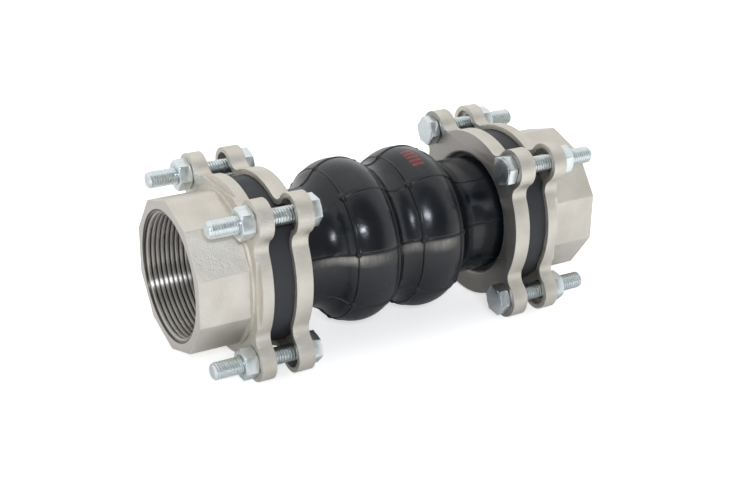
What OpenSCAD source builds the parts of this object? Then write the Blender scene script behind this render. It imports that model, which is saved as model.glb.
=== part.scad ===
// Threaded rubber expansion joint: a twin-sphere rubber bellows clamped between
// a wavy backing ring and a ten-sided female-threaded socket flange at each end.
// The pipe axis is X, Z is up, and the origin is the middle of the joint.
// Each end is drawn along +Z, measured outwards from the middle, then turned onto X.

// Sub-part to draw, or all of them

/* [Overall] */
// Length from one socket mouth to the other, mm
overall_length = 210; // [208:1:220]
// Length of the ten-sided socket outside the plate, mm
socket_length = 25; // [24:0.5:27]
// Width of the gap between the plate and the backing ring, where the bead shows, mm
bead_gap = 11; // [9:0.5:12]

/* [Socket] */
// Radius of the socket over its ten corners, mm
socket_corner_r = 36; // [35:0.5:37.5]
// Radius of the bore at the root of the G 2 pipe thread, mm
thread_root_r = 29.85; // [29.8:0.05:30]
// Depth of the threaded bore from the mouth, mm
thread_depth = 23.5; // [20:0.5:24]
// Radius that the mouth chamfer adds to the bore, mm
mouth_chamfer = 0.6; // [0.3:0.1:1.5]
// Radius of the water passage behind the thread, mm
passage_r = 25.5; // [24:0.5:26]
// Length of the cone between the thread and the water passage, mm
throat_length = 2; // [1:0.5:3]
// Height of the round collar where the socket meets its plate, mm
collar_height = 1.2; // [0.8:0.2:2]
// Distance that the collar stands outside the socket's corners, mm
collar_step = 0.6; // [0.3:0.1:1]

/* [Plates] */
// Radius of the plates between the lobes, mm
plate_r = 41; // [40:0.5:42]
// Distance of the bolt centres outside the plates' round edge, mm
bolt_reach = 6; // [5:0.5:7]
// Radius of the lobe around each bolt, mm
lobe_r = 9.4; // [8.8:0.2:10]
// Radius of the hollow between a lobe and the plate's round edge, mm
waist_r = 6; // [4:0.5:9]
// Distance of the raised step's straight sides inside the plate's round edge, mm
step_inset = 3.2; // [2:0.2:3.6]
// Height of the raised step, mm
step_height = 1.7; // [1:0.1:2]
// Thickness of the socket plate at the lobes, mm
plate_thickness = 7; // [6.5:0.5:8]
// Thickness of the backing ring, mm
ring_thickness = 8; // [7:0.5:9]
// Chamfer of the backing ring's bore, mm
bore_chamfer = 1; // [0.5:0.1:1.5]
// Thickness of the rim wall around each recess, mm
rim_wall = 2.4; // [2:0.2:2.8]
// Depth of the recess in the socket plate, mm
plate_recess = 2.5; // [1.5:0.5:3]
// Depth of the recess in the backing ring, mm
ring_recess = 5; // [4:0.5:5.5]
// Radial room between the rubber neck and the backing ring's bore, mm
neck_clearance = 2; // [1.5:0.5:3]

/* [Bellows] */
// Outer radius of the rubber neck, mm
neck_r = 28; // [27:0.5:28.5]
// Outer radius of each sphere at its crest, mm
crest_r = 39; // [38:0.5:39.5]
// Distance of each crest from the middle, mm
crest_x = 17.2; // [16.5:0.1:17.5]
// Radius of the sphere's arc in section, mm
arc_r = 17.8; // [17.5:0.1:18.5]
// Outer radius in the valley between the spheres, mm
valley_r = 32.5; // [32:0.1:33]
// Radius of the hollow where a sphere meets the neck, mm
base_round = 8; // [6:0.5:9]
// Thickness of the rubber wall, mm
rubber_wall = 4.3; // [4:0.1:5]
// Chamfer on the bead's outer edges, mm
bead_round = 1; // [0.5:0.1:1.5]
// Radial room between the bead and the rim walls, mm
bead_clearance = 0.3; // [0.3:0.1:0.8]
// Distance of each moulded hoop from its crest, mm
hoop_offset = 10.6; // [10:0.1:11]
// Radius of a moulded hoop's bead, mm
hoop_r = 0.8; // [0.5:0.1:1]
// Width of a moulded rib along the spheres, mm
rib_width = 1.4; // [1:0.1:2]
// Height of a moulded rib along the spheres, mm
rib_height = 0.6; // [0.4:0.1:0.9]
// Number of moulded ribs around the spheres
rib_count = 8; // [4:2:12]
// Turn of the first moulded rib, degrees
rib_turn = 33; // [0:1:45]

/* [Bolts] */
// Radius of the M8 shank over its thread, mm
shank_r = 4; // [3.9:0.05:4]
// Length of the shank under the head, mm
shank_length = 46; // [45:1:50]
// Height of the bolt head, mm
head_height = 5.3; // [5:0.1:5.6]
// Height of the nut, mm
nut_height = 6.5; // [6:0.1:6.8]
// Width across the flats of head and nut, mm
across_flats = 13; // [12.8:0.1:13]
// Chamfer at the end of the shank, mm
tip_chamfer = 1; // [0.5:0.1:1.2]
// Radial room of the shank in the nut, mm
nut_clearance = 0.05; // [0.03:0.01:0.1]
// Radial room of the shank in the plates, mm
hole_clearance = 0.5; // [0.3:0.1:1]
// Turn of each nut of the left end, degrees
left_nut_turns = [33, 55, 30, 1];
// Turn of each nut of the right end, degrees
right_nut_turns = [35, 25, 21, 25];
// Turn of each bolt head of the left end, degrees
left_head_turns = [27, 35, 32, 9];
// Turn of each bolt head of the right end, degrees
right_head_turns = [10, 23, 27, 21];

/* [Hidden] */
mouth_z = overall_length / 2;
plate_front_z = mouth_z - socket_length;
rim_front_z = plate_front_z - step_height;
plate_back_z = plate_front_z - plate_thickness;
bead_front_z = plate_back_z + plate_recess;
ring_front_z = plate_back_z - bead_gap;
ring_back_z = ring_front_z - ring_thickness;
bead_back_z = ring_front_z - ring_recess;
bead_r = plate_r - rim_wall - bead_clearance;
bolt_circle_r = plate_r + bolt_reach;
ring_bore_r = neck_r + neck_clearance;
step_side = plate_r - step_inset;
arc_center_r = crest_r - arc_r;
// Radius of the hollow between the spheres, tangent to both arcs and to the valley
valley_drop = valley_r - arc_center_r;
valley_round = (crest_x ^ 2 + valley_drop ^ 2 - arc_r ^ 2) / (2 * (arc_r - valley_drop));
// Distance of the neck hollow's centre from the middle, tangent to the arc and the neck
base_x = crest_x + sqrt((arc_r + base_round) ^ 2 - (neck_r + base_round - arc_center_r) ^ 2);
valley_center = [valley_r + valley_round, 0];
base_center = [neck_r + base_round, base_x];
rib_end_z = ring_back_z - 2;
hoop_center_r = arc_center_r + sqrt(arc_r ^ 2 - hoop_offset ^ 2);
hex_corner_r = across_flats / (2 * cos(30));
hole_r = shank_r + hole_clearance;
lobe_angles = [45, 135, 225, 315];
$fn = 96;

// Turns a thing drawn along +Z towards the left mouth
module left_end() {
    rotate([0, -90, 0]) children();
}

// Turns a thing drawn along +Z towards the right mouth
module right_end() {
    rotate([0, 90, 0]) children();
}

// Angle at the axis between a lobe and the centre of the hollow beside it
function waist_angle(r, lobe, waist) =
    acos((bolt_circle_r ^ 2 + (r + waist) ^ 2 - (lobe + waist) ^ 2) / (2 * bolt_circle_r * (r + waist)));

// Centre of the hollow beside a lobe, on the side given by s
function waist_center(r, lobe, waist, s) =
    (r + waist) * [cos(s * waist_angle(r, lobe, waist)), sin(s * waist_angle(r, lobe, waist))];

// Flat four-cornered web that joins a lobe to its plate, up to the hollow centres
module web(r, lobe, waist) {
    polygon([[0, 0], waist_center(r, lobe, waist, -1), [bolt_circle_r, 0],
        waist_center(r, lobe, waist, 1)]);
}

// Wavy four-lobed outline
module wavy_outline(r, lobe, waist) {
    circle(r = r);
    for (a = lobe_angles) rotate(a) {
        translate([bolt_circle_r, 0]) circle(r = lobe);
        difference() {
            web(r, lobe, waist);
            for (s = [-1, 1]) translate(waist_center(r, lobe, waist, s)) circle(r = waist);
        }
    }
}

// Wavy four-lobed plate standing on a height z
module wavy_plate(r, lobe, waist, z, t) {
    translate([0, 0, z]) linear_extrude(t) wavy_outline(r, lobe, waist);
}

// Outline of the raised step: straight between the lobes, so that a lens-shaped ledge stays along the rim
module step_outline() {
    intersection() {
        wavy_outline(plate_r, lobe_r, waist_r);
        union() {
            square(2 * step_side, center = true);
            for (i = [0:3]) at_bolt(i) circle(r = lobe_r);
        }
    }
}

// Recess that leaves the rim wall of a plate standing
module wavy_recess(z, t) {
    wavy_plate(plate_r - rim_wall, lobe_r - rim_wall, waist_r + rim_wall, z, t);
}

// Moves a thing to one of the four bolts
module at_bolt(i) {
    rotate(lobe_angles[i]) translate([bolt_circle_r, 0]) children();
}

// Bore of the socket: mouth chamfer, threaded length, throat and water passage
module socket_bore() {
    rotate_extrude() polygon([
        [0, plate_back_z - 1],
        [passage_r, plate_back_z - 1],
        [passage_r, mouth_z - thread_depth - throat_length],
        [thread_root_r, mouth_z - thread_depth],
        [thread_root_r, mouth_z - mouth_chamfer],
        [thread_root_r + mouth_chamfer, mouth_z],
        [thread_root_r + mouth_chamfer, mouth_z + 1],
        [0, mouth_z + 1]]);
}

// Cast socket flange, drawn towards +Z
module socket_flange() {
    difference() {
        union() {
            wavy_plate(plate_r, lobe_r, waist_r, plate_back_z, plate_thickness - step_height);
            translate([0, 0, plate_back_z]) linear_extrude(plate_thickness) step_outline();
            translate([0, 0, plate_front_z - 1])
                cylinder(r = socket_corner_r + collar_step, h = collar_height + 1);
            translate([0, 0, plate_front_z - 1])
                cylinder(r = socket_corner_r, h = socket_length + 1, $fn = 10);
        }
        socket_bore();
        wavy_recess(plate_back_z - 1, plate_recess + 1);
        for (i = [0:3]) at_bolt(i) translate([0, 0, plate_back_z])
            cylinder(r = hole_r, h = plate_thickness + 1);
    }
}

// Cast backing ring, drawn towards +Z with its recess facing the bead
module backing_ring() {
    difference() {
        wavy_plate(plate_r, lobe_r, waist_r, ring_back_z, ring_thickness);
        wavy_recess(bead_back_z, ring_recess + 1);
        translate([0, 0, ring_back_z - 1]) cylinder(r = ring_bore_r, h = ring_thickness);
        translate([0, 0, ring_back_z - 0.001])
            cylinder(r1 = ring_bore_r + bore_chamfer, r2 = ring_bore_r, h = bore_chamfer);
        for (i = [0:3]) at_bolt(i) translate([0, 0, ring_back_z - 1])
            cylinder(r = hole_r, h = ring_thickness);
    }
}

// Six-sided block with both ends chamfered on the corners
module hex_block(h) {
    cut = hex_corner_r - across_flats / 2;
    intersection() {
        cylinder(r = hex_corner_r, h = h, $fn = 6);
        rotate_extrude() polygon([
            [0, 0],
            [across_flats / 2 - 0.2, 0],
            [hex_corner_r + 0.2, cut * 0.6 + 0.24],
            [hex_corner_r + 0.2, h - cut * 0.6 - 0.24],
            [across_flats / 2 - 0.2, h],
            [0, h]]);
    }
}

// Hex bolt with its head against the backing ring
module bolt(i, turn) {
    at_bolt(i) {
        translate([0, 0, ring_back_z - head_height]) rotate(turn) hex_block(head_height);
        translate([0, 0, ring_back_z - 1]) cylinder(r = shank_r, h = shank_length + 1 - tip_chamfer);
        translate([0, 0, ring_back_z + shank_length - tip_chamfer])
            cylinder(r1 = shank_r, r2 = shank_r - tip_chamfer * 0.7, h = tip_chamfer);
    }
}

// Nut seated on the socket plate
module nut(i, turn) {
    at_bolt(i) translate([0, 0, plate_front_z]) difference() {
        rotate(turn) hex_block(nut_height);
        translate([0, 0, -1]) cylinder(r = shank_r + nut_clearance, h = nut_height + 2);
    }
}

// Half section of the rubber between the beads, drawn smaller all over by d and ending at z
module rubber_half(d, z) {
    square([neck_r - d, z]);
    translate([arc_center_r, crest_x]) circle(r = arc_r - d);
    difference() {
        polygon([[0, 0], valley_center, [arc_center_r, crest_x], [0, crest_x]]);
        translate(valley_center) circle(r = valley_round + d);
    }
    difference() {
        polygon([[0, crest_x], [arc_center_r, crest_x], base_center, [0, base_x]]);
        translate(base_center) circle(r = base_round + d);
    }
}

// Full section of the rubber between the beads, on one side of the axis
module rubber_section(d, z) {
    intersection() {
        for (m = [0, 1]) mirror([0, m, 0]) rubber_half(d, z);
        translate([0, -z]) square([crest_r + 2, 2 * z]);
    }
}

// Section of one bead, with its outer corners chamfered
module bead_section() {
    polygon([
        [0, bead_back_z],
        [bead_r - bead_round, bead_back_z],
        [bead_r, bead_back_z + bead_round],
        [bead_r, bead_front_z - bead_round],
        [bead_r - bead_round, bead_front_z],
        [0, bead_front_z]]);
}

// Moulded bellows with its two beads, drawn along Z
module bellows_body() {
    difference() {
        union() {
            rotate_extrude() {
                rubber_section(0, bead_back_z + 1);
                for (m = [0, 1]) mirror([0, m, 0]) bead_section();
            }
            for (z = [-crest_x, crest_x], s = [-1, 1]) translate([0, 0, z + s * hoop_offset])
                rotate_extrude() translate([hoop_center_r, 0]) circle(r = hoop_r);
            intersection() {
                rotate_extrude() rubber_section(-rib_height, rib_end_z);
                for (i = [0 : rib_count / 2 - 1]) rotate(rib_turn + i * 360 / rib_count)
                    cube([2 * crest_r + 4, rib_width, 2 * rib_end_z], center = true);
            }
        }
        rotate_extrude() rubber_section(rubber_wall, bead_front_z + 1);
    }
}

module left_socket_flange() { color([0.74, 0.72, 0.69]) left_end() socket_flange(); }
module left_backing_ring() { color([0.74, 0.72, 0.69]) left_end() backing_ring(); }
module left_bolt_1() { color([0.72, 0.75, 0.78]) left_end() bolt(0, left_head_turns[0]); }
module left_bolt_2() { color([0.72, 0.75, 0.78]) left_end() bolt(1, left_head_turns[1]); }
module left_bolt_3() { color([0.72, 0.75, 0.78]) left_end() bolt(2, left_head_turns[2]); }
module left_bolt_4() { color([0.72, 0.75, 0.78]) left_end() bolt(3, left_head_turns[3]); }
module left_nut_1() { color([0.72, 0.75, 0.78]) left_end() nut(0, left_nut_turns[0]); }
module left_nut_2() { color([0.72, 0.75, 0.78]) left_end() nut(1, left_nut_turns[1]); }
module left_nut_3() { color([0.72, 0.75, 0.78]) left_end() nut(2, left_nut_turns[2]); }
module left_nut_4() { color([0.72, 0.75, 0.78]) left_end() nut(3, left_nut_turns[3]); }
module bellows() { color([0.16, 0.16, 0.17]) right_end() bellows_body(); }
module right_backing_ring() { color([0.74, 0.72, 0.69]) right_end() backing_ring(); }
module right_socket_flange() { color([0.74, 0.72, 0.69]) right_end() socket_flange(); }
module right_bolt_1() { color([0.72, 0.75, 0.78]) right_end() bolt(0, right_head_turns[0]); }
module right_bolt_2() { color([0.72, 0.75, 0.78]) right_end() bolt(1, right_head_turns[1]); }
module right_bolt_3() { color([0.72, 0.75, 0.78]) right_end() bolt(2, right_head_turns[2]); }
module right_bolt_4() { color([0.72, 0.75, 0.78]) right_end() bolt(3, right_head_turns[3]); }
module right_nut_1() { color([0.72, 0.75, 0.78]) right_end() nut(0, right_nut_turns[0]); }
module right_nut_2() { color([0.72, 0.75, 0.78]) right_end() nut(1, right_nut_turns[1]); }
module right_nut_3() { color([0.72, 0.75, 0.78]) right_end() nut(2, right_nut_turns[2]); }
module right_nut_4() { color([0.72, 0.75, 0.78]) right_end() nut(3, right_nut_turns[3]); }

left_socket_flange();
left_backing_ring();
left_bolt_1();
left_bolt_2();
left_bolt_3();
left_bolt_4();
left_nut_1();
left_nut_2();
left_nut_3();
left_nut_4();
bellows();
right_backing_ring();
right_socket_flange();
right_bolt_1();
right_bolt_2();
right_bolt_3();
right_bolt_4();
right_nut_1();
right_nut_2();
right_nut_3();
right_nut_4();
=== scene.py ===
import bpy
import bmesh
from math import radians, degrees, pi, sin, cos, atan2, hypot, exp
from mathutils import Vector, Matrix


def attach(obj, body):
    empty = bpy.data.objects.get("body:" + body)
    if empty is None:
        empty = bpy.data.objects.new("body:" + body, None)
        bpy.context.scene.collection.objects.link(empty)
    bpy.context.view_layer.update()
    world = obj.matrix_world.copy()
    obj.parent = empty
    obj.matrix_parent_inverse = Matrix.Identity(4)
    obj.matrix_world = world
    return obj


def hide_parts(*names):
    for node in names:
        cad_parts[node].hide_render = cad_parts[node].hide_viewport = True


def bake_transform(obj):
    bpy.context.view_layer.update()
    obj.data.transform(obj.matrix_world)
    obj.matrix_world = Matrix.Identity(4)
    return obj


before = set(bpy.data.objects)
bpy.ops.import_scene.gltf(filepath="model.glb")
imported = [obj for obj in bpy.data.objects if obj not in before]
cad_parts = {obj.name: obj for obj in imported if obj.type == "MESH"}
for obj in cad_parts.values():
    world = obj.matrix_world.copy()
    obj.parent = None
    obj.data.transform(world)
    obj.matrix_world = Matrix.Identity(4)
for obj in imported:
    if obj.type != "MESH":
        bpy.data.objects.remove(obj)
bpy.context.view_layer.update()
mm = 0.001

# Places along the pipe axis in millimetres, measured outwards from the middle of the joint
joint = {
    "mouth": 105.0,        # socket mouth
    "threadEnd": 81.5,     # end of the pipe thread in the throat
    "plateFront": 80.0,    # face under the nuts
    "ringBack": 54.0,      # face under the bolt heads
    "boltCircle": 47.0,
    "boltAngles": (45, 135, 225, 315),
}
# Each end is modelled along local +Z, outwards, then turned onto the pipe axis
turnOf = {
    "left": Matrix(((0, 0, -1), (0, 1, 0), (1, 0, 0))).to_4x4(),
    "right": Matrix(((0, 0, 1), (0, 1, 0), (-1, 0, 0))).to_4x4(),
}
noiseLow, noiseHigh = 0.3, 0.7  # what Blender's noise mostly stays between


# Material helpers
def toLinear(hexColour):
    channels = [int(hexColour[i:i + 2], 16) / 255 for i in (1, 3, 5)]
    return [c / 12.92 if c <= 0.04045 else ((c + 0.055) / 1.055) ** 2.4 for c in channels] + [1.0]


def scaleFor(size):
    return 1000 / size  # texture scale that gives features of this many millimetres


def newMaterial(name):
    material = bpy.data.materials.new(name)
    material.use_nodes = True
    return material, material.node_tree, material.node_tree.nodes["Principled BSDF"]


def setInputs(tree, node, inputs):
    # An input takes a value, a hex colour or another node's output
    for name, value in inputs.items():
        if isinstance(value, bpy.types.NodeSocket):
            tree.links.new(value, node.inputs[name])
        else:
            node.inputs[name].default_value = toLinear(value) if isinstance(value, str) else value


def addNode(tree, kind, settings, inputs):
    node = tree.nodes.new("ShaderNode" + kind)
    for name, value in settings.items():
        setattr(node, name, value)
    setInputs(tree, node, inputs)
    return node.outputs


# Blasted castings
castSteel = {
    "light": "#e1ddd4",
    "dark": "#d2cec4",
    "patch": 14.0,         # mm, slow drift between the two
    "ripple": 4.0,         # mm, waves of the cast skin
    "rippleStrength": 0.25,
    "rippleDepth": 0.2,    # mm
    "grit": 0.65,          # mm, from blasting, drawn coarser than it is so that it shows
    "gritStrength": 1.0,
    "gritDepth": 0.13,     # mm
    "roughness": (0.42, 0.6),
}


def makeCastSteel():
    # Stainless steel, investment cast, then blasted: a warm satin grey with a fine grit
    steel = castSteel
    material, tree, shader = newMaterial("cast stainless steel, blasted")
    at = addNode(tree, "TexCoord", {}, {})["Object"]
    noise = {}
    for name, detail in (("patch", 5.0), ("ripple", 2.0), ("grit", 2.0)):
        size = scaleFor(steel[name])
        noise[name] = addNode(tree, "TexNoise", {}, {"Vector": at, "Scale": size, "Detail": detail})["Fac"]
    patch = addNode(tree, "MapRange", {}, {
        "Value": noise["patch"], "From Min": noiseLow, "From Max": noiseHigh})["Result"]
    colour = addNode(tree, "Mix", {"data_type": "RGBA"}, {0: patch, 6: steel["dark"], 7: steel["light"]})[2]
    smooth, rough = steel["roughness"]
    roughness = addNode(tree, "MapRange", {}, {
        "Value": noise["grit"], "From Min": noiseLow, "From Max": noiseHigh,
        "To Min": smooth, "To Max": rough})["Result"]
    waves = addNode(tree, "Bump", {}, {
        "Height": noise["ripple"], "Strength": steel["rippleStrength"],
        "Distance": steel["rippleDepth"] * mm})["Normal"]
    grain = addNode(tree, "Bump", {}, {
        "Height": noise["grit"], "Strength": steel["gritStrength"],
        "Distance": steel["gritDepth"] * mm, "Normal": waves})["Normal"]
    setInputs(tree, shader, {"Metallic": 1.0, "Base Color": colour, "Roughness": roughness, "Normal": grain})
    return material


# Turned faces and threads
turnedSteel = {
    "rootShadeAt": (28.7, 29.7),      # mm from the pipe axis, where the painted shade in a thread's root starts and is full
    "threadColour": "#d6d2cc",
    "rootShadeColour": "#66625d",     # painted shade down in the thread's roots
    "threadRoughness": (0.34, 0.42),
    "threadGrooves": 1.0,        # how far the turned rings draw a highlight out
    "mouthColour": "#d2cec8",
    # painted shade: the backing rings' backs, which face the black bellows, take a darker colour
    "backShadeColour": "#aeaba6",
    "faceRoughness": (0.36, 0.46),
    "faceGrooves": 0.5,
    "streak": 1.5,               # mm
    "streakStrength": 0.1,
    "streakDepth": 0.02,         # mm
}


def makeTurnedSteel(name, colour, rootShadeColour, roughness, grooves):
    # The same steel off the lathe: its fine rings draw each lamp out into a streak across them
    steel = turnedSteel
    material, tree, shader = newMaterial("turned stainless steel, " + name)
    rings = addNode(tree, "Tangent", {"direction_type": "RADIAL", "axis": "X"}, {})["Tangent"]
    at = addNode(tree, "TexCoord", {}, {})["Object"]
    sideways = addNode(tree, "VectorMath", {"operation": "MULTIPLY"}, {0: at, 1: (0, 1, 1)})["Vector"]
    radius = addNode(tree, "VectorMath", {"operation": "LENGTH"}, {0: sideways})["Value"]
    # the colour darkens from the thread colour to the root colour towards the roots: painted shade in the
    # grooves
    start, full = steel["rootShadeAt"]
    depth = addNode(tree, "MapRange", {}, {
        "Value": radius, "From Min": start * mm, "From Max": full * mm})["Result"]
    colours = addNode(tree, "Mix", {"data_type": "RGBA"}, {0: depth, 6: colour, 7: rootShadeColour})[2]
    streak = addNode(tree, "TexNoise", {}, {
        "Vector": at, "Scale": scaleFor(steel["streak"]), "Detail": 3.0})["Fac"]
    smooth, rough = roughness
    blur = addNode(tree, "MapRange", {}, {
        "Value": streak, "From Min": noiseLow, "From Max": noiseHigh,
        "To Min": smooth, "To Max": rough})["Result"]
    marks = addNode(tree, "Bump", {}, {
        "Height": streak, "Strength": steel["streakStrength"],
        "Distance": steel["streakDepth"] * mm})["Normal"]
    setInputs(tree, shader, {
        "Metallic": 1.0, "Anisotropic": grooves, "Anisotropic Rotation": 0.25, "Tangent": rings,
        "Base Color": colours, "Roughness": blur, "Normal": marks})
    return material


# Plating of the bolts and nuts
zinc = {
    "light": "#ebf1f2",
    "dark": "#dbe4e6",
    "haze": 2.5,           # mm
    "hazeStrength": 0.05,
    "hazeDepth": 0.02,     # mm
    "roughness": (0.27, 0.36),
}


def makeZincPlate():
    # Steel, zinc plated and blue passivated: a cool silver with a soft shine and a faint haze
    material, tree, shader = newMaterial("zinc plated steel")
    at = addNode(tree, "TexCoord", {}, {})["Object"]
    clouds = addNode(tree, "TexNoise", {}, {
        "Vector": at, "Scale": scaleFor(zinc["haze"]), "Detail": 4.0})["Fac"]
    haze = addNode(tree, "MapRange", {}, {
        "Value": clouds, "From Min": noiseLow, "From Max": noiseHigh})["Result"]
    colour = addNode(tree, "Mix", {"data_type": "RGBA"}, {0: haze, 6: zinc["dark"], 7: zinc["light"]})[2]
    smooth, rough = zinc["roughness"]
    roughness = addNode(tree, "MapRange", {}, {"Value": haze, "To Min": smooth, "To Max": rough})["Result"]
    film = addNode(tree, "Bump", {}, {
        "Height": haze, "Strength": zinc["hazeStrength"], "Distance": zinc["hazeDepth"] * mm})["Normal"]
    setInputs(tree, shader, {"Metallic": 1.0, "Base Color": colour, "Roughness": roughness, "Normal": film})
    return material


# Rubber outside
shinyRubber = {
    "dark": "#0a0f15",
    "light": "#10161f",
    "cloud": 12.0,               # mm, how far the shine wanders
    "cloudStrength": 0.35,
    "cloudDepth": 0.35,          # mm
    "skin": 1.2,                 # mm, fine unevenness
    "skinStrength": 0.12,
    "skinDepth": 0.08,           # mm
    "roughness": (0.15, 0.29),
    "dullRoughness": 0.62,       # of the pale band under the rib and the moulded lines
    # painted shade: the moulded lines are coloured darker than the rubber
    "line": "#060708",
    "lineDull": 0.6,             # how much of that a moulded line takes
    # pale band under one rib: wax bloom, lightened further as a painted reflection of the floor
    "bloomAndReflection": "#b6b1aa",
    "paleBandRib": 12.0,            # degrees below the level, the rib over the pale band
    "paleBandEdge": 2.0,            # degrees in which it starts
    "paleBandFade": (3.0, 11.0),    # degrees below the rib, where it fades
    "paleBandCover": 0.95,
    "paleBandPatch": 6.0,           # mm, uneven spots in it
    "paleBandBrush": 1.3,           # mm, strokes across it
    "paleBandSpots": ((-30, 22, 1.0), (1.5, 9, 0.65), (14.5, 12, 0.7)),  # middle and reach in mm, strength
    "paint": "#8e2422",
    "barX": (12.8, 18.8),        # mm along the pipe
    "barAngles": (92.0, 113.0),  # degrees round it
    "barCount": 5,
    "barShare": 0.64,            # of the step from bar to bar
    "paintWear": 0.9,            # mm, worn spots
    "paintLeft": (0.35, 0.95),   # paint left in them and between them
}


def addBloomAndReflection(tree, at, x, below):
    # Strength of the pale band below the rib, which is wax bloom and a painted reflection of the floor: in
    # three spots, patchy and brushed across
    rubber = shinyRubber
    rib = radians(rubber["paleBandRib"])
    near, far = [rib - radians(fade) for fade in rubber["paleBandFade"]]
    edge = addNode(tree, "MapRange", {}, {
        "Value": below, "From Min": rib, "From Max": rib - radians(rubber["paleBandEdge"])})["Result"]
    fade = addNode(tree, "MapRange", {"interpolation_type": "SMOOTHSTEP"}, {
        "Value": below, "From Min": far, "From Max": near})["Result"]
    spread = 0.0
    for middle, reach, strength in rubber["paleBandSpots"]:
        offset = addNode(tree, "Math", {"operation": "SUBTRACT"}, {0: x, 1: middle * mm})["Value"]
        away = addNode(tree, "Math", {"operation": "ABSOLUTE"}, {0: offset})["Value"]
        spot = addNode(tree, "MapRange", {"interpolation_type": "SMOOTHSTEP"}, {
            "Value": away, "From Max": reach * mm, "To Min": strength, "To Max": 0.0})["Result"]
        spread = addNode(tree, "Math", {"operation": "MAXIMUM"}, {0: spread, 1: spot})["Value"]
    across = addNode(tree, "CombineXYZ", {}, {"X": x})["Vector"]
    waxAndReflection = edge
    for part in (fade, spread):
        waxAndReflection = addNode(tree, "Math", {"operation": "MULTIPLY"}, {0: waxAndReflection, 1: part})["Value"]
    for source, size, low, high, least in ((at, rubber["paleBandPatch"], 0.3, 0.6, 0.5),
                                           (across, rubber["paleBandBrush"], 0.35, 0.65, 0.75)):
        clouds = addNode(tree, "TexNoise", {}, {
            "Vector": source, "Scale": scaleFor(size), "Detail": 3.0})["Fac"]
        part = addNode(tree, "MapRange", {}, {
            "Value": clouds, "From Min": low, "From Max": high, "To Min": least})["Result"]
        waxAndReflection = addNode(tree, "Math", {"operation": "MULTIPLY"}, {0: waxAndReflection, 1: part})["Value"]
    return waxAndReflection


def addBars(tree, at, x, angle):
    # Strength of the paint: bars side by side round the pipe, worn in fine spots
    rubber = shinyRubber
    start, end = [radians(edge) for edge in rubber["barAngles"]]
    count = addNode(tree, "MapRange", {}, {
        "Value": angle, "From Min": start, "From Max": end, "To Max": rubber["barCount"]})["Result"]
    step = addNode(tree, "Math", {"operation": "FRACT"}, {0: count})["Value"]
    bars = addNode(tree, "Math", {"operation": "LESS_THAN"}, {0: step, 1: rubber["barShare"]})["Value"]
    left, right = [edge * mm for edge in rubber["barX"]]
    for value, test, limit in ((x, "GREATER_THAN", left), (x, "LESS_THAN", right),
                               (angle, "GREATER_THAN", start), (angle, "LESS_THAN", end)):
        inside = addNode(tree, "Math", {"operation": test}, {0: value, 1: limit})["Value"]
        bars = addNode(tree, "Math", {"operation": "MULTIPLY"}, {0: bars, 1: inside})["Value"]
    spots = addNode(tree, "TexNoise", {}, {
        "Vector": at, "Scale": scaleFor(rubber["paintWear"]), "Detail": 3.0})["Fac"]
    least, most = rubber["paintLeft"]
    wear = addNode(tree, "MapRange", {}, {
        "Value": spots, "From Min": 0.3, "From Max": 0.5, "To Min": least, "To Max": most})["Result"]
    return addNode(tree, "Math", {"operation": "MULTIPLY"}, {0: bars, 1: wear})["Value"]


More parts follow.
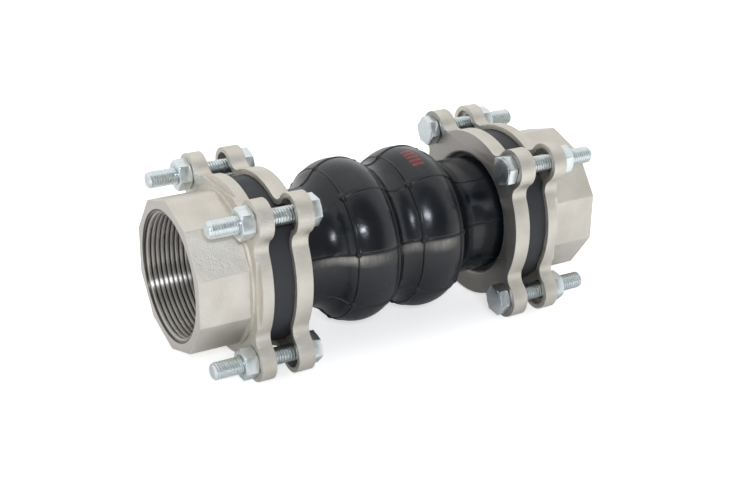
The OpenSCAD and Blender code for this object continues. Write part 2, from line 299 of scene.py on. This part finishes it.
def makeShinyRubber():
    # EPDM rubber, press moulded and cured: near black, with a waxy shine that wanders over the skin,
    # pale wax that has bloomed under one rib with a painted reflection of the floor there, painted shade on
    # the moulded lines, and painted red bars
    rubber = shinyRubber
    material, tree, shader = newMaterial("moulded rubber, shiny")
    at = addNode(tree, "Attribute", {"attribute_name": "restPlace"}, {})["Vector"]
    line = addNode(tree, "Attribute", {"attribute_name": "mouldLine"}, {})["Fac"]
    axes = addNode(tree, "SeparateXYZ", {}, {"Vector": at})
    front = addNode(tree, "Math", {"operation": "MULTIPLY"}, {0: axes["Y"], 1: -1.0})["Value"]
    angle, below = [addNode(tree, "Math", {"operation": "ARCTAN2"}, {0: axes["Z"], 1: level})["Value"]
                    for level in (axes["Y"], front)]
    clouds, skin = [addNode(tree, "TexNoise", {}, {
        "Vector": at, "Scale": scaleFor(rubber[name]), "Detail": detail})["Fac"]
        for name, detail in (("cloud", 4.0), ("skin", 3.0))]
    cloud = addNode(tree, "MapRange", {}, {
        "Value": clouds, "From Min": noiseLow, "From Max": noiseHigh})["Result"]
    waxAndReflection = addBloomAndReflection(tree, at, axes["X"], below)
    pale = addNode(tree, "Math", {"operation": "MULTIPLY"}, {0: waxAndReflection, 1: rubber["paleBandCover"]})["Value"]
    paint = addBars(tree, at, axes["X"], angle)
    colour = addNode(tree, "Mix", {"data_type": "RGBA"}, {0: cloud, 6: rubber["dark"], 7: rubber["light"]})[2]
    # the pale band's colour is wax bloom and a painted reflection; the moulded lines' colour is painted shade
    for amount, name in ((pale, "bloomAndReflection"), (paint, "paint"), (line, "line")):
        colour = addNode(tree, "Mix", {"data_type": "RGBA"}, {0: amount, 6: colour, 7: rubber[name]})[2]
    smooth, rough = rubber["roughness"]
    shine = addNode(tree, "MapRange", {}, {"Value": cloud, "To Min": smooth, "To Max": rough})["Result"]
    lineDull = addNode(tree, "Math", {"operation": "MULTIPLY"}, {0: line, 1: rubber["lineDull"]})["Value"]
    dull = addNode(tree, "Math", {"operation": "MAXIMUM"}, {0: waxAndReflection, 1: lineDull})["Value"]
    roughness = addNode(tree, "MapRange", {}, {
        "Value": dull, "To Min": shine, "To Max": rubber["dullRoughness"]})["Result"]
    waves = addNode(tree, "Bump", {}, {
        "Height": cloud, "Strength": rubber["cloudStrength"],
        "Distance": rubber["cloudDepth"] * mm})["Normal"]
    grain = addNode(tree, "Bump", {}, {
        "Height": skin, "Strength": rubber["skinStrength"],
        "Distance": rubber["skinDepth"] * mm, "Normal": waves})["Normal"]
    setInputs(tree, shader, {"IOR": 1.52, "Base Color": colour, "Roughness": roughness, "Normal": grain})
    return material


# Rubber on the beads
mattRubber = {
    "dark": "#2c2e32",
    "light": "#383a3f",
    "cloud": 9.0,          # mm
    "sand": 0.6,           # mm, the mould's grain
    "sandStrength": 0.15,
    "sandDepth": 0.05,     # mm
    "roughness": (0.5, 0.7),
}


def makeMattRubber():
    # The same rubber on the beads, straight from a sandy mould: charcoal, with hardly any shine
    rubber = mattRubber
    material, tree, shader = newMaterial("moulded rubber, matt")
    at = addNode(tree, "Attribute", {"attribute_name": "restPlace"}, {})["Vector"]
    cloud, sand = [addNode(tree, "TexNoise", {}, {
        "Vector": at, "Scale": scaleFor(rubber[name]), "Detail": detail})["Fac"]
        for name, detail in (("cloud", 4.0), ("sand", 2.0))]
    colour = addNode(tree, "Mix", {"data_type": "RGBA"}, {0: cloud, 6: rubber["dark"], 7: rubber["light"]})[2]
    smooth, rough = rubber["roughness"]
    roughness = addNode(tree, "MapRange", {}, {
        "Value": cloud, "From Min": noiseLow, "From Max": noiseHigh,
        "To Min": smooth, "To Max": rough})["Result"]
    grain = addNode(tree, "Bump", {}, {
        "Height": sand, "Strength": rubber["sandStrength"], "Distance": rubber["sandDepth"] * mm})["Normal"]
    setInputs(tree, shader, {"IOR": 1.52, "Base Color": colour, "Roughness": roughness, "Normal": grain})
    return material


steelSkin = makeCastSteel()
steelThread = makeTurnedSteel("bright", turnedSteel["threadColour"], turnedSteel["rootShadeColour"],
                              turnedSteel["threadRoughness"], turnedSteel["threadGrooves"])
# The dull copy is the satin one darkened as painted shade on the backing rings' backs; its roughness is the
# same
steelMouth, steelBackShaded = [
    makeTurnedSteel(name, turnedSteel[colour], turnedSteel[colour],
                    turnedSteel["faceRoughness"], turnedSteel["faceGrooves"])
    for name, colour in (("satin", "mouthColour"), ("dull", "backShadeColour"))]
zincSkin = makeZincPlate()
rubberSkin = makeShinyRubber()
rubberBead = makeMattRubber()
print("finishes made")


# Mesh helpers
def newObject(name, bm, *materials):
    mesh = bpy.data.meshes.new(name)
    bm.to_mesh(mesh)
    bm.free()
    for material in materials:
        mesh.materials.append(material)
    piece = bpy.data.objects.new(name, mesh)
    bpy.context.scene.collection.objects.link(piece)
    return piece


def weld(bm):
    bmesh.ops.remove_doubles(bm, verts=bm.verts, dist=0.002 * mm)


def cutAway(bm, point, outward):
    # Cuts off what lies outwards of a plane and gives the edges of the cut
    cut = bmesh.ops.bisect_plane(
        bm, geom=bm.verts[:] + bm.edges[:] + bm.faces[:], dist=1e-7,
        plane_co=point, plane_no=outward, clear_outer=True)
    return [part for part in cut["geom_cut"] if isinstance(part, bmesh.types.BMEdge)]


def cutAndCap(bm, point, outward):
    bmesh.ops.edgeloop_fill(bm, edges=cutAway(bm, point, outward))


def roundEdges(bm, width, segments, smallest, wanted=None):
    edges = [edge for edge in bm.edges
             if len(edge.link_faces) == 2 and edge.calc_face_angle() > radians(smallest)
             and (wanted is None or wanted(edge))]
    bmesh.ops.bevel(bm, geom=edges, offset=width * mm, offset_type="OFFSET", affect="EDGES",
                    segments=segments, profile=0.5, material=-1, clamp_overlap=True)


def smoothShade(bm, sharpFrom):
    for face in bm.faces:
        face.smooth = True
    for edge in bm.edges:
        edge.smooth = len(edge.link_faces) == 2 and edge.calc_face_angle() < radians(sharpFrom)


def drawLine(bm, points):
    verts = [bm.verts.new(point) for point in points]
    edges = [bm.edges.new(pair) for pair in zip(verts, verts[1:])]
    return verts + edges


def helixSkin(bm, line, pitch, start, turns, steps):
    # line is one pitch of the thread as (radius, height), and its ends weld from turn to turn
    profile = drawLine(bm, [(r * mm, 0, (start + z) * mm) for r, z in line])
    bmesh.ops.spin(bm, geom=profile, cent=(0, 0, 0), axis=(0, 0, 1), angle=2 * pi * turns,
                   steps=steps * turns, dvec=(0, 0, pitch / steps * mm))
    weld(bm)


def joinInto(bm, other):
    spare = bpy.data.meshes.new("spare")
    other.to_mesh(spare)
    other.free()
    bm.from_mesh(spare)
    bpy.data.meshes.remove(spare)


# Castings: the socket flanges and backing rings
casting = {
    "holeRound": 0.3,        # on the bolt holes and on the ring's bore
    "rimRound": 0.7,         # on the plates' rims
    "socketRound": 0.5,      # on the ten corners
    "footRound": 0.25,       # where the socket meets its collar and the step its ledge
    "holeReach": 4.7,        # an edge this near to a bolt's axis is its hole's
    "boreReach": 31.5,       # and one this near to the pipe axis is a bore's
    "socketReach": 36.3,
    "stepReach": 38.7,
    "rimFrom": 38.6,
    "turnedFrom": 79.4,      # along the pipe from here and inside the next radius the bore is turned
    "turnedReach": 31.2,
    "threadPitch": 2.309,    # G 2 pipe thread, 11 to the inch
    "threadRoot": 29.85,
    "threadCrest": 28.45,
    "crestWear": 0.08,       # off the crests' corners
    "threadFoot": 0.25,      # sunk into the wall
    "threadSteps": 96,       # round the pipe
    "mouthEdge": 30.45,      # radius of the mouth chamfer at the face
    "mouthSlope": 1.6,
}


def socketThread():
    # Helical ridges whose foot lies in the wall; the mouth's cone cuts their first turn
    pitch, root, crest = casting["threadPitch"], casting["threadRoot"], casting["threadCrest"]
    rise = [(root, 0.05), (crest + casting["crestWear"], 0.24), (crest, 0.3), (crest, 0.42)]
    ridge = rise + [(r, 1 - z) for r, z in rise[::-1]]
    foot = root + casting["threadFoot"]
    line = [(foot, 0)] + [(r, z * pitch) for r, z in ridge] + [(foot, pitch)]
    start = joint["threadEnd"] - 1.2
    turns = int((joint["mouth"] - start) / pitch) + 2
    bm = bmesh.new()
    helixSkin(bm, line, pitch, start, turns, casting["threadSteps"])
    for vert in bm.verts:
        vert.co.z = min(vert.co.z, (joint["mouth"] - 0.03) * mm)
        radius = vert.co.xy.length / mm
        cone = casting["mouthEdge"] - (joint["mouth"] - vert.co.z / mm) * casting["mouthSlope"]
        if radius < cone:
            vert.co.xy *= cone / radius
    bmesh.ops.dissolve_degenerate(bm, dist=1e-6, edges=bm.edges)
    return bm


def middleOf(edge):
    # Radius from the pipe axis and distance along it, in millimetres
    middle = (edge.verts[0].co + edge.verts[1].co) / 2
    return hypot(middle.y, middle.z) / mm, abs(middle.x) / mm


def widest(face):
    # Largest radius from the pipe axis, since the middle of a ring-shaped face lies on it
    return max(hypot(vert.co.y, vert.co.z) for vert in face.verts) / mm


def inBoltHole(edge):
    holes = [(joint["boltCircle"] * cos(radians(angle)), joint["boltCircle"] * sin(radians(angle)))
             for angle in joint["boltAngles"]]
    return all(min(hypot(vert.co.y / mm - y, vert.co.z / mm - z) for y, z in holes) < casting["holeReach"]
               for vert in edge.verts)


def onRim(edge):
    return middleOf(edge)[0] > casting["rimFrom"] and not inBoltHole(edge)


def onSocket(edge):
    radius, along = middleOf(edge)
    return casting["boreReach"] < radius < casting["socketReach"] and along > joint["plateFront"] + 1.4


def onFoot(edge):
    radius, along = middleOf(edge)
    low, high = joint["plateFront"] - 2.2, joint["plateFront"] + 1.3
    return casting["boreReach"] < radius < casting["stepReach"] and low < along < high


def inBore(edge):
    radius, along = middleOf(edge)
    return radius < casting["boreReach"] and along < joint["ringBack"] + 1.5


def makeCasting(name, body):
    bm = bmesh.new()
    bm.from_mesh(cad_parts[name].data)
    weld(bm)
    bmesh.ops.dissolve_limit(bm, angle_limit=radians(0.5), verts=bm.verts, edges=bm.edges)
    for width, smallest, where in (("holeRound", 30, inBoltHole), ("rimRound", 30, onRim),
                                   ("socketRound", 20, onSocket), ("footRound", 30, onFoot),
                                   ("holeRound", 30, inBore)):
        roundEdges(bm, casting[width], 3, smallest, where)
    for face in bm.faces:
        along = abs(face.calc_center_median().x) / mm
        if along > joint["mouth"] - 0.05:
            face.material_index = 2
        # faces inward of the rings' backs get the darker steel, which is painted shade
        elif along < joint["ringBack"] + 0.05:
            face.material_index = 3
        elif along > casting["turnedFrom"] and widest(face) < casting["turnedReach"]:
            face.material_index = 1
    smoothShade(bm, 24)
    if "socket" in name:
        thread = socketThread()
        bmesh.ops.transform(thread, matrix=turnOf[name.split("_")[0]], verts=thread.verts)
        for face in thread.faces:
            face.material_index = 1
            face.smooth = True
        joinInto(bm, thread)
    piece = newObject(name + "_skin", bm, steelSkin, steelThread, steelMouth, steelBackShaded)
    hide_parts(name)
    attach(piece, body)


for side in ("left", "right"):
    makeCasting(side + "_socket_flange", side + "_end")
    makeCasting(side + "_backing_ring", side + "_end")
print("castings made")

# Bolts and nuts
fastener = {
    "pitch": 1.25,           # M8 coarse thread
    "crest": 4.0,
    "root": 3.45,
    "length": 46.0,
    "headHeight": 5.3,
    "nutHeight": 6.5,
    "acrossFlats": 13.0,
    "nutBore": 3.9,
    "washerFace": 0.35,      # the head's low round step
    "chamferSlope": 0.58,    # of the corners, 30 degrees
    "nutChamfer": 0.5,       # at both ends of the nut's bore
    "flatRound": 0.2,
    "tipChamfer": 1.0,
    "nutTurns": {"left": (33, 55, 30, 1), "right": (35, 25, 21, 25)},
    "headTurns": {"left": (27, 35, 32, 9), "right": (10, 23, 27, 21)},
    "shankTurn": {"left": 25, "right": 160},
}


def threadedShank():
    pitch, crest, root = fastener["pitch"], fastener["crest"], fastener["root"]
    line = [(root, 0), (root, 0.12 * pitch), (crest, 0.42 * pitch), (crest, 0.55 * pitch),
            (root, 0.88 * pitch), (root, pitch)]
    tip = joint["ringBack"] + fastener["length"]
    bm = bmesh.new()
    helixSkin(bm, line, pitch, joint["ringBack"] - 2 * pitch, int(fastener["length"] / pitch) + 4, 32)
    cutAndCap(bm, (0, 0, tip * mm), (0, 0, 1))
    cutAndCap(bm, (0, 0, (joint["ringBack"] - 0.5) * mm), (0, 0, -1))
    for vert in bm.verts:
        limit = crest - max(0, vert.co.z / mm - tip + fastener["tipChamfer"])
        radius = vert.co.xy.length / mm
        if radius > limit:
            vert.co.xy *= limit / radius
    bmesh.ops.recalc_face_normals(bm, faces=bm.faces)
    return bm


def hexBlock(low, high, bore):
    # A turned blank with its corners chamfered, cut to six flats
    flat = fastener["acrossFlats"] / 2
    spare = 0.3  # mm, the blank past the corners, and the chamfer inside the flats
    corner = flat / cos(radians(30)) + spare
    drop = (corner - flat + spare) * fastener["chamferSlope"]
    if bore:
        lead = fastener["nutChamfer"]
        line = [(bore + lead, high), (flat - spare, high), (corner, high - drop), (corner, low + drop),
                (flat - spare, low), (bore + lead, low), (bore, low + lead), (bore, high - lead),
                (bore + lead, high)]
    else:
        step = low + fastener["washerFace"]
        line = [(0, high), (flat - spare, high), (corner, high - drop), (corner, step),
                (flat - spare, step), (flat - spare, low), (0, low)]
    bm = bmesh.new()
    bmesh.ops.spin(bm, geom=drawLine(bm, [(r * mm, 0, z * mm) for r, z in line]), cent=(0, 0, 0),
                   axis=(0, 0, 1), angle=2 * pi, steps=72, use_merge=True)
    weld(bm)
    bmesh.ops.recalc_face_normals(bm, faces=bm.faces)
    for i in range(6):
        outward = Vector((cos(radians(60 * i + 30)), sin(radians(60 * i + 30)), 0))
        cutAndCap(bm, outward * flat * mm, outward)
    bmesh.ops.recalc_face_normals(bm, faces=bm.faces)
    roundEdges(bm, fastener["flatRound"], 2, 25)
    return bm


def placeFastener(bm, side, i, turn):
    angle = radians(joint["boltAngles"][i])
    circle = joint["boltCircle"] * mm
    onCircle = Matrix.Translation((circle * cos(angle), circle * sin(angle), 0))
    spun = Matrix.Rotation(angle + radians(turn), 4, "Z")
    bmesh.ops.transform(bm, matrix=turnOf[side] @ onCircle @ spun, verts=bm.verts)


def makeFasteners(side):
    ringBack, plate = joint["ringBack"], joint["plateFront"]
    for i in range(4):
        bolt = hexBlock(ringBack - fastener["headHeight"], ringBack, 0)
        placeFastener(bolt, side, i, fastener["headTurns"][side][i])
        shank = threadedShank()
        placeFastener(shank, side, i, 90 * i + fastener["shankTurn"][side])
        joinInto(bolt, shank)
        nut = hexBlock(plate, plate + fastener["nutHeight"], fastener["nutBore"])
        placeFastener(nut, side, i, fastener["nutTurns"][side][i])
        for kind, bm in (("bolt", bolt), ("nut", nut)):
            smoothShade(bm, 35)
            node = f"{side}_{kind}_{i + 1}"
            piece = newObject(node + "_zinc", bm, zincSkin)
            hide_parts(node)
            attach(piece, side + "_end")


makeFasteners("left")
makeFasteners("right")
print("bolts and nuts made")

# Rubber bellows
bellows = {
    "crestX": 17.2,          # middle of a sphere
    "crestR": 39.0,
    "arcR": 17.8,
    "valleyR": 32.5,
    "neckR": 28.0,
    "baseRound": 12.0,       # from the sphere into the neck
    "wall": 4.3,
    "beadBack": 57.0,
    "beadFront": 75.5,
    "beadR": 38.3,
    "beadCorner": 0.9,
    "hoopX": (6.6, 27.8),    # moulded lines round the spheres
    "hoopHeight": 0.38,
    "ribTurn": 33.0,         # degrees, the first line along the pipe
    "ribCount": 8,
    "ribHeight": 0.5,
    "neckFrom": 36.0,
    "neckRib": 0.22,
    "nubHeight": 0.95,       # small round nubs where lines cross
    "nubRadius": 1.3,
    "lineHalfWidth": 0.5,
    "grooveDepth": 0.15,     # beside a line, as a share of its height
    "grooveAt": 1.35,        # its place and width in half widths of the line
    "grooveWidth": 0.25,
    "darkFrom": 0.08,        # mm of height where a line starts to take its painted shade
    "darkOver": 0.25,        # mm of height in which that grows full
    "blendTo": 50.0,         # mm from the middle of the joint
}


def arcPoints(centre, radius, start, end, steps):
    return [(centre[0] + radius * cos(radians(start + (end - start) * i / steps)),
             centre[1] + radius * sin(radians(start + (end - start) * i / steps))) for i in range(steps + 1)]


def bellowsLine(inset, steps):
    # Outer line of the right half from the valley to the neck, as (x, radius), drawn inwards by inset
    crestX, arcR, baseRound = bellows["crestX"], bellows["arcR"], bellows["baseRound"]
    arcCentre = (crestX, bellows["crestR"] - arcR)
    drop = bellows["valleyR"] - arcCentre[1]
    valleyRound = (crestX ** 2 + drop ** 2 - arcR ** 2) / (2 * (arcR - drop))
    valleyCentre = (0, bellows["valleyR"] + valleyRound)
    rise = bellows["neckR"] + baseRound - arcCentre[1]
    baseCentre = (crestX + ((arcR + baseRound) ** 2 - rise ** 2) ** 0.5, bellows["neckR"] + baseRound)
    valleyTurn = degrees(atan2(valleyCentre[1] - arcCentre[1], -crestX))
    baseTurn = degrees(atan2(rise, baseCentre[0] - arcCentre[0]))
    line = arcPoints(valleyCentre, valleyRound + inset, -90, valleyTurn - 180, max(3, steps // 4))
    line += arcPoints(arcCentre, arcR - inset, valleyTurn, 90, steps // 2)[1:]
    line += arcPoints(arcCentre, arcR - inset, 90, baseTurn, steps // 2)[1:]
    line += arcPoints(baseCentre, baseRound + inset, baseTurn + 180, 270, max(3, steps // 4))[1:]
    return line


def beadLine(innerR):
    back, front, top, corner = [bellows[name] for name in ("beadBack", "beadFront", "beadR", "beadCorner")]
    line = [(back, bellows["neckR"] + 4)]
    line += arcPoints((back + corner, top - corner), corner, 180, 90, 4)
    line += [(back + 6, top), (back + 12, top)]
    line += arcPoints((front - corner, top - corner), corner, 90, 0, 4)
    return line + [(front, innerR + 1), (front - 1, innerR)]


def bellowsLoop():
    # Closed section of the whole wall as (x, radius)
    outer, inner = bellowsLine(0, 128), bellowsLine(bellows["wall"], 24)
    neckStart, neckR = outer[-1][0], bellows["neckR"]
    neck = [(neckStart + (bellows["beadBack"] - neckStart) * i / 16, neckR) for i in range(1, 17)]
    right = outer + neck + beadLine(inner[-1][1]) + inner[::-1]
    left = [(-x, radius) for x, radius in right[::-1]]
    return right[:-1] + left[:-1]


def lineBump(distance):
    # Height of a moulded line, from 1 at its middle to 0 at its edge, with a shallow groove beside it
    d = abs(distance) / bellows["lineHalfWidth"]
    groove = exp(-((d - bellows["grooveAt"]) / bellows["grooveWidth"]) ** 2)
    return max(0.0, 1 - d * d) ** 1.5 - bellows["grooveDepth"] * groove


def mouldedLift(vert):
    # How far the mould's lines raise this place, in millimetres
    period = 360 / bellows["ribCount"]
    x, radius = abs(vert.co.x) / mm, hypot(vert.co.y, vert.co.z) / mm
    angle = degrees(atan2(vert.co.z, vert.co.y)) - bellows["ribTurn"]
    across = radians((angle + period / 2) % period - period / 2) * radius
    along = min(abs(x - hoop) for hoop in bellows["hoopX"])
    rib = (bellows["ribHeight"] if x < bellows["neckFrom"] else bellows["neckRib"]) * lineBump(across)
    hoop = bellows["hoopHeight"] * lineBump(along)
    nub = bellows["nubHeight"] * max(0.0, 1 - (hypot(across, along) / bellows["nubRadius"]) ** 2) ** 0.5
    lift = max(rib, hoop, nub)
    return min(rib, hoop) if lift < 0.01 else lift


def onSpheresOrNeck(vert):
    # The outer skin's normal points away from the wall's middle line
    if hypot(vert.co.y, vert.co.z) < (bellows["neckR"] - 0.5) * mm:
        return False
    if abs(vert.co.x) > (bellows["beadBack"] - 0.2) * mm:
        return False
    return vert.normal.y * vert.co.y + vert.normal.z * vert.co.z > 0 or abs(vert.normal.x) > 0.99


def makeRubber():
    start = radians(bellows["ribTurn"])
    bm = bmesh.new()
    ring = [bm.verts.new((x * mm, radius * mm * cos(start), radius * mm * sin(start)))
            for x, radius in bellowsLoop()]
    edges = [bm.edges.new((ring[i - 1], ring[i])) for i in range(len(ring))]
    period = 360 / bellows["ribCount"]
    fine = [0, 0.22, 0.46, 0.72, 1.05, 1.5, 2.2]  # degrees from a rib, close together where it rises
    coarse = [fine[-1] + (period - 2 * fine[-1]) * i / 15 for i in range(1, 15)]
    stops = fine + coarse + [period - stop for stop in fine[::-1]]
    geom = ring + edges
    for k in range(bellows["ribCount"]):
        for before, after in zip(stops, stops[1:]):
            turned = bmesh.ops.spin(bm, geom=geom, cent=(0, 0, 0), axis=(1, 0, 0),
                                    angle=radians(after - before), steps=1)
            geom = turned["geom_last"]
    weld(bm)
    bmesh.ops.recalc_face_normals(bm, faces=bm.faces)
    bm.normal_update()
    mask = bm.verts.layers.float.new("mouldLine")
    rest = bm.verts.layers.float_vector.new("restPlace")
    for vert in bm.verts:
        vert[rest] = vert.co
        if onSpheresOrNeck(vert):
            lift = mouldedLift(vert)
            vert.co += vert.normal * lift * mm
            # how strongly a line shows, by its height: its painted shade and its duller roughness
            vert[mask] = min(1.0, max(0.0, (lift - bellows["darkFrom"]) / bellows["darkOver"]))
    return bm


def rubberPiece(whole, name, outward):
    bm = whole.copy()
    rim = cutAway(bm, (bellows["crestX"] * mm, 0, 0), (outward, 0, 0))
    wall = bmesh.ops.bridge_loops(bm, edges=rim)["faces"]
    smoothShade(bm, 50)
    for face in wall:
        face.smooth = False
    for face in bm.faces:
        face.material_index = int(abs(face.calc_center_median().x) > (bellows["beadBack"] - 0.1) * mm)
    piece = newObject(name, bm, rubberSkin, rubberBead)
    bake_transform(piece)
    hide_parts("bellows")


wholeRubber = makeRubber()
rubberPiece(wholeRubber, "bellows_left", 1)
rubberPiece(wholeRubber, "bellows_right", -1)
wholeRubber.free()
print("rubber made")

# Floor, lamps and camera
studio = {
    "floorZ": -42.7,
    "floorSize": 4.0,         # metres
    "floorColour": "#f4f4f4",
    "floorGlow": 0.6,         # what the camera's own rays add to the floor
    "mirroredGlow": 0.42,     # what its mirror image in the object adds, in front of the object
    "glowFrom": (-20, -150),  # mm, from under the object to where that is full
    "worldLight": 0.92,
    "frontLight": 0.26,       # the dark room in front of the bench and above the camera
    "frontSide": (-0.1, -0.86, 0.5),
    "frontEdge": (0.5, 0.85),  # cosines from that side, where it starts and is full
}


def makeFloor():
    bm = bmesh.new()
    bmesh.ops.create_grid(bm, x_segments=2, y_segments=2, size=studio["floorSize"] / 2)
    bmesh.ops.translate(bm, verts=bm.verts, vec=(0, 0, studio["floorZ"] * mm))
    # Paper without a coating, white and quite dull
    m, tree, shader = newMaterial("white studio paper")
    path = addNode(tree, "LightPath", {}, {})
    at = addNode(tree, "TexCoord", {}, {})["Object"]
    forward = addNode(tree, "SeparateXYZ", {}, {"Vector": at})["Y"]
    near, far = [edge * mm for edge in studio["glowFrom"]]
    glow = addNode(tree, "MapRange", {"interpolation_type": "SMOOTHSTEP"}, {
        "Value": forward, "From Min": near, "From Max": far, "To Max": studio["mirroredGlow"]})["Result"]
    seen = addNode(tree, "Math", {"operation": "MULTIPLY"}, {
        0: path["Is Camera Ray"], 1: studio["floorGlow"]})["Value"]
    mirrored = addNode(tree, "Math", {"operation": "MULTIPLY"}, {0: path["Is Glossy Ray"], 1: glow})["Value"]
    strength = addNode(tree, "Math", {"operation": "ADD"}, {0: seen, 1: mirrored})["Value"]
    setInputs(tree, shader, {"Base Color": studio["floorColour"], "Roughness": 0.9,
                             "Emission Color": "#ffffff", "Emission Strength": strength})
    newObject("floor", bm, m)


def makeWorld():
    world = bpy.data.worlds.new("studio")
    bpy.context.scene.world = world
    world.use_nodes = True
    tree = world.node_tree
    at = addNode(tree, "TexCoord", {}, {})["Generated"]
    toward = addNode(tree, "VectorMath", {"operation": "DOT_PRODUCT"}, {
        0: at, 1: studio["frontSide"]})["Value"]
    start, full = studio["frontEdge"]
    light = addNode(tree, "MapRange", {"interpolation_type": "SMOOTHSTEP"}, {
        "Value": toward, "From Min": start, "From Max": full,
        "To Min": studio["worldLight"], "To Max": studio["frontLight"]})["Result"]
    seen = addNode(tree, "LightPath", {}, {})["Is Camera Ray"]
    strength = addNode(tree, "MapRange", {}, {"Value": seen, "To Min": light, "To Max": 1.0})["Result"]
    setInputs(tree, tree.nodes["Background"], {"Color": "#ffffff", "Strength": strength})


def addLamp(name, at, size, power, colour):
    lamp = bpy.data.lights.new(name, "AREA")
    lamp.shape = "RECTANGLE"
    lamp.size, lamp.size_y = size
    lamp.energy = power
    lamp.color = toLinear(colour)[:3]
    holder = bpy.data.objects.new(name, lamp)
    bpy.context.scene.collection.objects.link(holder)
    holder.location = at
    holder.rotation_euler = (-Vector(at)).to_track_quat("-Z", "Y").to_euler()


camera = {
    "azimuth": -29.99,
    "elevation": 22.33,
    "distance": 0.6424,       # metres
    "aim": (-0.0046, 0, -0.0048),
    "lens": 66.36,
    "turn": -1.2,             # about the pipe axis, as the joint was laid down a little turned
}


def makeCamera():
    data = bpy.data.cameras.new("camera")
    data.lens = camera["lens"]
    data.sensor_width = 36
    data.sensor_fit = "HORIZONTAL"
    azimuth, elevation = radians(camera["azimuth"]), radians(camera["elevation"])
    back = Vector((sin(azimuth) * cos(elevation), -cos(azimuth) * cos(elevation), sin(elevation)))
    holder = bpy.data.objects.new("camera", data)
    bpy.context.scene.collection.objects.link(holder)
    moved = Matrix.Translation(Vector(camera["aim"]) + back * camera["distance"])
    turned = Matrix.Rotation(radians(camera["turn"]), 4, "X")
    holder.matrix_world = turned @ moved @ (-back).to_track_quat("-Z", "Y").to_matrix().to_4x4()
    bpy.context.scene.camera = holder


makeFloor()
makeWorld()
makeCamera()
addLamp("top softbox", (0.0, 0.15, 0.9), (0.8, 0.6), 0.3, "#ffffff")
addLamp("key softbox", (-0.76, -1.7, 1.11), (0.62, 0.14), 14.4, "#edf2fb")
bpy.context.scene.view_settings.view_transform = "Standard"
print("studio made")
